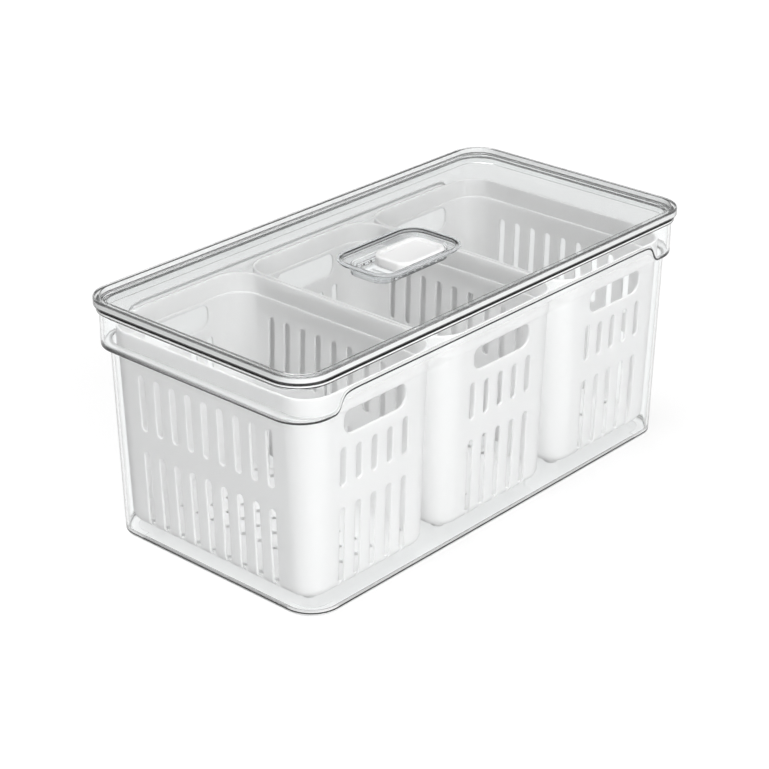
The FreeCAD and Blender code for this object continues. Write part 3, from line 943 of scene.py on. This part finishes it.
@dataclass
class Vent:
    """The vent in the lid: clear housing with a notched cup, and the white slider in it."""

    flange: Outline = Outline(41.5, 26.1, 16.0)
    dish: Outline = Outline(39.7, 24.3, 14.2)
    cup: Outline = Outline(34.5, 17.1, 10.5)
    wall: float = 1.4
    panel_top: float = 162.8
    flange_thickness: float = 0.9
    flange_round: float = 0.3
    dish_floor: float = 160.4
    dish_round: float = 0.8
    cup_floor: float = 153.8
    cup_round: float = 0.6
    cup_rim_round: float = 0.5
    rail_base: float = 156.0
    rail_top: float = 157.4
    rail_depth: float = 1.0
    rail_root: float = 0.4
    rail_half_length: float = 24.0
    slot_middle: float = -22.6
    slot_pitch: float = 5.2
    slot_half_width: float = 1.3
    slot_half_length: float = 9.0
    notches: int = 8
    notch_pitch: float = 6.97
    notch_half_width: float = 1.4
    notch_height: float = 1.9
    slider: Outline = Outline(22.2, 15.3, 8.7)
    slider_x: float = 10.5
    slider_base: float = 154.1
    slider_top: float = 161.0
    slider_round: float = 1.5
    slider_rim: float = 3.4
    slider_well: float = 1.6
    slider_foot: float = 0.5
    well_rounds: tuple[float, float] = (0.6, 0.9)
    groove_face: float = 14.3
    gap: float = 0.4
    # Painted tones: painted highlights on the flange, the hollow, the cup's rim and the slot edges,
    # and a painted black line along the dish's far edge, which starts these distances outside the
    # hollow.
    flange_glow: float = 0.25
    line: tuple[float, float] = (1.0, 0.8)
    hollow_levels: tuple[float, float, float] = (0.7, 1.6, 1.9)
    hollow_glow: float = 0.4
    cup_edge: tuple[float, float] = (1.2, 1.0)
    cup_glow: float = 0.8
    slot_glow: float = 0.7

    def painted_far_line(self, x: float, y: float) -> float:
        """Return the painted black reflection on the dish's upper edge: only on its far side,
        facing the black cloth.
        """
        return 1.0 if x / self.dish.half_x + 0.9 * y / self.dish.half_y > 0.15 else 0.0

    def housing(self) -> Stack:
        """Stack the rings of the housing.

        Returns:
            The rings, up the outside and down the inside.
        """
        top = self.panel_top + self.flange_thickness
        bottom = self.cup_floor - self.wall
        dish_base = self.dish_floor - self.wall
        hollow = self.dish.inset(self.wall)
        well = self.cup.inset(self.wall)
        edge, deep, r = self.flange_round, self.dish_round, self.cup_round
        stack = Stack()
        stack.add(round_over(self.cup, r, bottom + r, bottom, 3)[::-1])
        stack.add([self.cup.ring(dish_base)])
        stack.add(round_over(self.dish, deep, dish_base + deep, dish_base, 3)[::-1])
        # The flange carries a faint painted highlight.
        under = [self.dish.ring(self.panel_top), self.flange.inset(0.1).ring(self.panel_top)]
        stack.add(under + round_over(self.flange, edge, top - edge, top, 3), glow=self.flange_glow)
        # The painted black line starts this far outside the hollow, just after the flange's last
        # painted highlight.
        before, start = self.line
        stack.add([hollow.inset(-before).ring(top)], glow=self.flange_glow)
        stack.add([hollow.inset(-start).ring(top)], dark=self.painted_far_line)
        stack.add(round_over(hollow, -edge, top - edge, top, 3)[::-1], dark=self.painted_far_line)
        # The hollow's upper wall carries a painted highlight.
        high, low, plain = [hollow.ring(top - depth) for depth in self.hollow_levels]
        stack.add([high, low], glow=self.hollow_glow)
        stack.add([plain])
        stack.add(round_over(hollow, deep, self.dish_floor + deep, self.dish_floor, 3))
        out, down = self.cup_edge
        rim = self.cup_rim_round
        stack.add([well.inset(-out).ring(self.dish_floor)])
        # The cup's rim carries a painted highlight.
        stack.add(round_over(well, -rim, self.dish_floor - rim, self.dish_floor, 3)[::-1],
                  glow=self.cup_glow)
        stack.add([well.ring(self.dish_floor - down)])
        stack.add(round_over(well, r, self.cup_floor + r, self.cup_floor, 3))
        return stack

    def rails(self) -> BMesh:
        """Make the two rails that the slider runs on.

        Returns:
            Their mesh, with their roots in the cup's walls.
        """
        rails = bmesh.new()
        face = self.cup.half_y - self.wall
        for side in (-1, 1):
            reach = sorted((side * (face - self.rail_depth), side * (face + self.rail_root)))
            add_box(rails, (-self.rail_half_length, self.rail_half_length), reach,
                    (self.rail_base, self.rail_top))
        return rails

    def slot_cutters(self) -> BMesh:
        """Make what is cut out of the housing.

        Returns:
            The mesh of three vent slots and of a row of notches in each long wall.
        """
        cutters = bmesh.new()
        half, reach = self.slot_half_width, (-self.slot_half_length, self.slot_half_length)
        for place in (-1, 0, 1):
            middle = self.slot_middle + self.slot_pitch * place
            add_box(cutters, (middle - half, middle + half), reach,
                    (self.cup_floor - 3, self.cup_floor + 1))
        half = self.notch_half_width
        for place in range(self.notches):
            middle = (place - (self.notches - 1) / 2) * self.notch_pitch
            for side in (-1, 1):
                reach = sorted((side * (self.cup.half_y - 1.9), side * (self.cup.half_y + 1.0)))
                add_box(cutters, (middle - half, middle + half), reach,
                        (self.cup_floor, self.cup_floor + self.notch_height))
        return cutters

    def slider_rings(self) -> list[Ring]:
        """Make the rings of the slider.

        Returns:
            The rings, up the outside and into the well.
        """
        block, top, r = self.slider, self.slider_top, self.slider_round
        foot, (lip_round, well_round) = self.slider_foot, self.well_rounds
        rings = [block.inset(foot).ring(self.slider_base), block.ring(self.slider_base + foot)]
        rings += round_over(block, r, top - r, top, 6)
        lip = block.inset(self.slider_rim)
        rings += round_over(lip, -lip_round, top - lip_round, top, 3)[::-1]
        floor = top - self.slider_well
        return rings + round_over(lip, well_round, floor + well_round, floor, 5)

    def groove_cutters(self) -> BMesh:
        """Make what is cut out of the slider.

        Returns:
            The mesh of a groove for each rail.
        """
        cutters = bmesh.new()
        for side in (-1, 1):
            reach = sorted((side * self.groove_face, side * (self.slider.half_y + 1.0)))
            add_box(cutters, (-30.0, 30.0), reach,
                    (self.rail_base - self.gap, self.rail_top + self.gap))
        return cutters

    def paint_slots(self, housing: Object) -> None:
        """Paint a highlight on the edges of the vent slots.

        Args:
            housing: The housing, with its slots cut.
        """
        level, reach = (self.cup_floor + 0.1) * MM, (self.slot_half_length + 0.1) * MM
        for vert, glow in zip(housing.data.vertices, housing.data.attributes["glow"].data):
            if vert.co.z < level and abs(vert.co.y) < reach:
                glow.value = self.slot_glow

    def build(self, clear: ClearStyrene, white: WhitePolypropylene) -> list[Object]:
        """Build and dress the housing and the slider.

        Args:
            clear: Finish of the housing.
            white: Finish of the slider.

        Returns:
            The housing and the slider.
        """
        housing = make_object("vent_cup", self.housing().mesh(), SHARP_CLEAR)
        combine(housing, self.rails(), Change.JOIN)
        combine(housing, self.slot_cutters(), Change.CUT)
        self.paint_slots(housing)
        smooth(housing, SHARP_CLEAR)
        dress(housing, clear.build(), Body.KEEPER, "vent_housing")
        let_light_through(housing)
        slider = make_object("vent_slide", mesh_from_rings(self.slider_rings()), SHARP_SLIDER)
        combine(slider, self.groove_cutters(), Change.CUT)
        smooth(slider, SHARP_SLIDER)
        slider.location.x = self.slider_x * MM
        dress(slider, white.build(), Body.SLIDER, "vent_slider")
        return [housing, slider]


# ---------------------------------------------------------------- baskets


@dataclass
class Basket:
    """A white basket: drafted slotted walls, rim band, hand holes, drain holes and feet."""

    half_length: float = 54.2
    half_width: float = 82.6
    draft: float = 0.032
    underside: float = 8.4
    floor: float = 10.4
    corner: float = 15.2
    corner_steps: int = 10
    base_round: float = 7.0
    wall: float = 1.8
    band_base: float = 130.3
    band_step: float = 0.9
    band_round: float = 0.5
    top: float = 145.3
    top_round: float = 0.7
    bevel: float = 0.35
    slot_half: float = 2.5
    slot_pitch: float = 13.8
    lower_slot: tuple[float, float] = (11.2, 65.3)
    upper_base: float = 80.0
    side_top: float = 104.5
    side_last_rise: float = 1.7
    end_top: float = 119.0
    side_reach: int = 2
    end_reach: int = 4
    handle_half: float = 27.5
    handle: tuple[float, float] = (113.5, 129.5)
    handle_corners: tuple[float, float] = (7.5, 5.0)
    arc_steps: int = 8
    drain_radius: float = 2.2
    drain_steps: int = 16
    drain_columns: tuple[float, ...] = (-3.5, -1.5, -0.5, 0.5, 1.5, 3.5)
    drain_rows: int = 10
    drain_pitch: tuple[float, float] = (13.5, 13.8)
    foot_inset: float = 16.0
    foot_circles: tuple[tuple[float, float], ...] = ((3.0, 4.4), (3.6, 5.0), (8.6, 5.0))
    foot_steps: int = 20

    def wall_outline(self, level: float) -> Outline:
        """Draw the outside of the drafted walls.

        Args:
            level: The height of the cut.

        Returns:
            Their outline there.
        """
        grow = self.draft * (level - self.underside)
        return Outline(self.half_length + grow, self.half_width + grow, self.corner + grow,
                       steps=self.corner_steps)

    def rings(self) -> list[Ring]:
        """Make the rings of the basket without its holes.

        Returns:
            The rings, up the outside and down the inside.
        """
        walls, wall, r = self.wall_outline(self.band_base), self.wall, self.band_round
        band = walls.inset(-self.band_step)
        inside = band.inset(wall)
        ledge = self.band_base + wall
        low, high = self.top - self.top_round, self.top
        rings = foot_round(self.wall_outline, self.underside, self.base_round, 8)
        rings.append(walls.ring(self.band_base))
        rings += round_over(band, r, self.band_base + r, self.band_base, 3)[::-1]
        rings += round_over(band, self.top_round, low, high, 4)
        rings += round_over(inside, -self.top_round, low, high, 4)[::-1]
        rings.append(inside.ring(ledge))
        rings += round_over(self.wall_outline(ledge).inset(wall), -r, ledge - r, ledge, 3)[::-1]
        return rings + foot_round(self.wall_outline, self.floor, self.base_round - wall, 7, wall)

    def slot_shape(self, middle: float, low: float, high: float) -> Shape:
        """Draw an upright slot with round ends.

        Args:
            middle: Its place along the wall.
            low: Height of its lower end.
            high: Height of its upper end.

        Returns:
            Its outline, as place along the wall and height.
        """
        r = self.slot_half
        ends = ((low + r, 2.0), (high - r, 0.0))
        return [(middle + r * cos, level + r * sin) for level, start in ends
                for cos, sin in turn(self.arc_steps, start, 2.0)]

    def handle_shape(self) -> Shape:
        """Draw a hand hole, which is rounder below than above.

        Returns:
            Its outline, as place along the wall and height.
        """
        (low, high), half = self.handle, self.handle_half
        wide, tight = self.handle_corners
        corners = ((half - tight, high - tight, tight), (tight - half, high - tight, tight),
                   (wide - half, low + wide, wide), (half - wide, low + wide, wide))
        return [(x + r * cos, z + r * sin) for start, (x, z, r) in enumerate(corners)
                for cos, sin in turn(self.arc_steps, start)]

    def wall_cutter(self, mesh: BMesh, shape: Shape, faces_y: bool, side: int) -> None:
        """Add the cutter of one hole through a wall, flared at both faces of the wall.

        Args:
            mesh: The mesh that gathers the cutters.
            shape: The hole's outline, as place along the wall and height.
            faces_y: Whether the wall faces along Y.
            side: Which of the two walls, -1 or 1.
        """
        normals = []
        for i in range(len(shape)):
            before, after = shape[i - 1], shape[(i + 1) % len(shape)]
            along, up = after[0] - before[0], after[1] - before[1]
            length = math.hypot(along, up)
            normals.append((up / length, -along / length))
        b, w = self.bevel, self.wall
        rows = []
        for depth, grow in ((-1.0, b + 1.0), (b, 0.0), (w - b, 0.0), (w + 1.0, b + 1.0)):
            row = []
            for (along, level), (out, rise) in zip(shape, normals):
                here, height = along + out * grow, level + rise * grow
                outline = self.wall_outline(height)
                reach = side * ((outline.half_y if faces_y else outline.half_x) - depth)
                point = (here, reach, height) if faces_y else (reach, here, height)
                row.append(mesh.verts.new(Vector(point) * MM))
            rows.append(row)
        skin(mesh, rows)

    def cutters(self) -> BMesh:
        """Make what is cut out of the walls and the floor.

        Returns:
            The mesh of all cutters.
        """
        mesh = bmesh.new()
        for side in (-1, 1):
            for faces_y, reach, top in ((True, self.side_reach, self.side_top),
                                        (False, self.end_reach, self.end_top)):
                for place in range(-reach, reach + 1):
                    middle = place * self.slot_pitch
                    last = faces_y and abs(place) == reach
                    high = top + (self.side_last_rise if last else 0.0)
                    for limits in (self.lower_slot, (self.upper_base, high)):
                        self.wall_cutter(mesh, self.slot_shape(middle, *limits), faces_y, side)
            self.wall_cutter(mesh, self.handle_shape(), True, side)
        pitch_x, pitch_y = self.drain_pitch
        circles = [(level, self.drain_radius) for level in (self.underside - 1, self.floor + 2)]
        for row in range(self.drain_rows):
            for column in self.drain_columns:
                centre = Vector((column * pitch_x, (row - (self.drain_rows - 1) / 2) * pitch_y, 0))
                add_column(mesh, centre, circles, self.drain_steps)
        bmesh.ops.recalc_face_normals(mesh, faces=mesh.faces)
        return mesh

    def feet(self) -> Mesh:
        """Make the four round feet.

        Returns:
            Their mesh.
        """
        mesh = bmesh.new()
        for side_x in (-1, 1):
            for side_y in (-1, 1):
                centre = Vector((side_x * (self.half_length - self.foot_inset),
                                 side_y * (self.half_width - self.foot_inset), 0))
                add_column(mesh, centre, self.foot_circles, self.foot_steps)
        bmesh.ops.recalc_face_normals(mesh, faces=mesh.faces)
        data = bpy.data.meshes.new("feet")
        mesh.to_mesh(data)
        mesh.free()
        return data

    def build_mesh(self) -> Mesh:
        """Build the mesh of a whole basket.

        Returns:
            The mesh, which the three baskets share.
        """
        shell = make_object("basket_pattern", mesh_from_rings(self.rings()))
        combine(shell, self.cutters(), Change.CUT)
        feet = self.feet()
        joined = bmesh.new()
        joined.from_mesh(shell.data)
        joined.from_mesh(feet)
        joined.to_mesh(shell.data)
        joined.free()
        bpy.data.meshes.remove(feet)
        smooth(shell, SHARP_BASKET)
        data = shell.data
        bpy.data.objects.remove(shell)
        return data


@dataclass
class BasketRow:
    """The three baskets side by side in the bin."""

    basket: Basket
    pitch: float = 119.07
    names: tuple[str, ...] = ("left", "middle", "right")

    def build(self, finish: WhitePolypropylene) -> list[Object]:
        """Build and dress the baskets.

        Args:
            finish: Their finish.

        Returns:
            The baskets, from left to right.
        """
        data = self.basket.build_mesh()
        material = finish.build()
        shells = []
        for place, name in enumerate(self.names):
            shell = bpy.data.objects.new(f"basket_shell_{name}", data)
            bpy.context.scene.collection.objects.link(shell)
            shell.location.x = (place - 1) * self.pitch * MM
            dress(shell, material, Body.KEEPER, f"basket_{name}")
            shells.append(shell)
        return shells


# ---------------------------------------------------------------- studio


@dataclass(frozen=True)
class Softbox:
    """A square soft light.

    Attributes:
        name: Its name.
        place: Where it hangs, in metres.
        size: Its side, in metres.
        power: Its power in watts.
    """

    name: str
    place: tuple[float, float, float]
    size: float
    power: float

    def hang(self, target: Vector) -> None:
        """Hang the light.

        Args:
            target: The point that it faces.
        """
        data = bpy.data.lights.new(self.name, "AREA")
        data.shape = "SQUARE"
        data.size = self.size
        data.energy = self.power
        lamp = bpy.data.objects.new(self.name, data)
        lamp.location = self.place
        lamp.rotation_euler = (target - lamp.location).to_track_quat("-Z", "Y").to_euler()
        # Gloss would show the lamps as bright squares on the lid, which the photograph lacks.
        lamp.visible_glossy = False
        bpy.context.scene.collection.objects.link(lamp)


@dataclass
class Studio:
    """Pale floor, soft lights, white surroundings and the camera, in metres."""

    world_light: float = 0.03
    floor_size: float = 6.0
    floor_colour: str = "#8F8F8F"
    floor_near: tuple[float, float] = (0.3, 0.73)
    floor_far: tuple[float, float] = (1.4, 1.0)
    cloth_colour: str = "#1A1A1A"
    cloth_glow: float = 0.22
    cloth_radius: float = 1.9
    cloth_levels: tuple[float, float] = (0.45, 4.5)
    cloth_steps: int = 72
    light_target: tuple[float, float, float] = (0.0, 0.0, 0.08)
    softboxes: tuple[Softbox, ...] = (
        Softbox("front_light", (-1.04, -2.58, 1.12), 2.0, 82.0),
        Softbox("top_light", (-0.4, 0.3, 3.0), 2.0, 72.0),
        Softbox("side_light", (-2.7, -0.4, 1.6), 1.5, 10.0),
        Softbox("back_light", (1.3, 2.5, 1.4), 1.5, 22.0))
    view_right: tuple[float, float, float] = (0.6679, -0.7443, 0.0)
    view_back: tuple[float, float, float] = (-0.6715, -0.6026, 0.4314)
    view_target: tuple[float, float, float] = (0.0, 0.0, 0.07125)
    view_distance: float = 1.42932
    view_shift: tuple[float, float] = (-0.00959, -0.00335)
    lens: float = 100.48

    def floor(self) -> None:
        """Lay the floor, which looks white from afar and keeps the object's shadow."""
        mesh = bmesh.new()
        bmesh.ops.create_grid(mesh, x_segments=1, y_segments=1, size=self.floor_size)
        ground = make_object("floor", mesh)
        material, tree, output = new_material("White paper sweep")
        (near, near_white), (far, far_white) = self.floor_near, self.floor_far
        place = add_node(tree, "ShaderNodeTexCoord")
        reach = add_node(tree, "ShaderNodeVectorMath", {"operation": "LENGTH"},
                         i0=place.outputs["Object"])
        fade = add_node(tree, "ShaderNodeMapRange", Value=reach.outputs["Value"], From_Min=near,
                        From_Max=far, To_Min=near_white, To_Max=far_white)
        lift = add_node(tree, "ShaderNodeMath", {"operation": "MULTIPLY"}, i0=seen_rays(tree),
                        i1=fade.outputs["Result"])
        paper = add_node(tree, "ShaderNodeBsdfPrincipled", Base_Color=linear(self.floor_colour),
                         Roughness=0.9, Specular_IOR_Level=0.0, Emission_Color=WHITE,
                         Emission_Strength=lift.outputs[0])
        tree.links.new(paper.outputs["BSDF"], output.inputs["Surface"])
        ground.data.materials.append(material)

    def surroundings(self) -> None:
        """Light the scene faintly from all round, and show white behind it."""
        world = bpy.data.worlds.new("White studio")
        bpy.context.scene.world = world
        world.use_nodes = True
        tree = world.node_tree
        tree.nodes.clear()
        strength = add_node(tree, "ShaderNodeMapRange", Value=seen_rays(tree),
                            To_Min=self.world_light, To_Max=1.0)
        light = add_node(tree, "ShaderNodeBackground", Color=WHITE,
                         Strength=strength.outputs["Result"])
        output = tree.nodes.new("ShaderNodeOutputWorld")
        tree.links.new(light.outputs["Background"], output.inputs["Surface"])

    def cloth(self) -> None:
        """Stand a black cloth round the table, which only gloss and clear plastic show."""
        mesh = bmesh.new()
        rings = [circle(self.cloth_radius, level, self.cloth_steps) for level in self.cloth_levels]
        skin(mesh, [[mesh.verts.new(point) for point in ring] for ring in rings], capped=False)
        cloth = make_object("black_screen", mesh)
        material, tree, output = new_material("Black studio cloth")
        black = add_node(tree, "ShaderNodeBsdfPrincipled", Base_Color=linear(self.cloth_colour),
                         Roughness=1.0, Emission_Color=WHITE, Emission_Strength=self.cloth_glow)
        tree.links.new(black.outputs["BSDF"], output.inputs["Surface"])
        cloth.data.materials.append(material)
        cloth.visible_camera = False
        cloth.visible_diffuse = False
        cloth.visible_shadow = False

    def camera(self) -> None:
        """Place the camera where the photograph was taken from."""
        back = Vector(self.view_back).normalized()
        up = back.cross(Vector(self.view_right).normalized()).normalized()
        right = up.cross(back)
        data = bpy.data.cameras.new("camera")
        data.sensor_width = 36.0
        data.lens = self.lens
        data.clip_start = 0.05
        eye = bpy.data.objects.new("camera", data)
        place = (Vector(self.view_target) + back * self.view_distance
                 + right * self.view_shift[0] + up * self.view_shift[1])
        axes = Matrix((right, up, back)).transposed().to_4x4()
        eye.matrix_world = Matrix.Translation(place) @ axes
        bpy.context.scene.collection.objects.link(eye)
        bpy.context.scene.camera = eye

    def build(self) -> None:
        """Build the studio."""
        self.camera()
        self.surroundings()
        self.floor()
        for softbox in self.softboxes:
            softbox.hang(Vector(self.light_target))
        self.cloth()
        bpy.context.scene.view_settings.view_transform = "Standard"


def main() -> None:
    """Build the studio and the keeper, and report each piece."""
    logging.basicConfig(level=logging.INFO)
    Studio().build()
    clear = ClearStyrene("Clear styrene, moulded and polished")
    vent_clear = ClearStyrene("Clear styrene of the vent, moulded", tint="#F4F6F7", density=20.0)
    white = WhitePolypropylene("White polypropylene, moulded satin")
    # The slider's white is painted darker than the baskets' as painted shade, standing in for less
    # light on it.
    slider_white_with_painted_shade = WhitePolypropylene("White polypropylene of the slider", "#E6E6E6", "#E1E1E1",
                                      roughness=0.3)
    pieces = [ClearBin().build(clear), ClearLid().build(clear)]
    pieces += Vent().build(vent_clear, slider_white_with_painted_shade)
    pieces += BasketRow(Basket()).build(white)
    for piece in pieces:
        LOG.info("%s: %d faces", piece.name, len(piece.data.polygons))


if __name__ == "__main__":
    main()
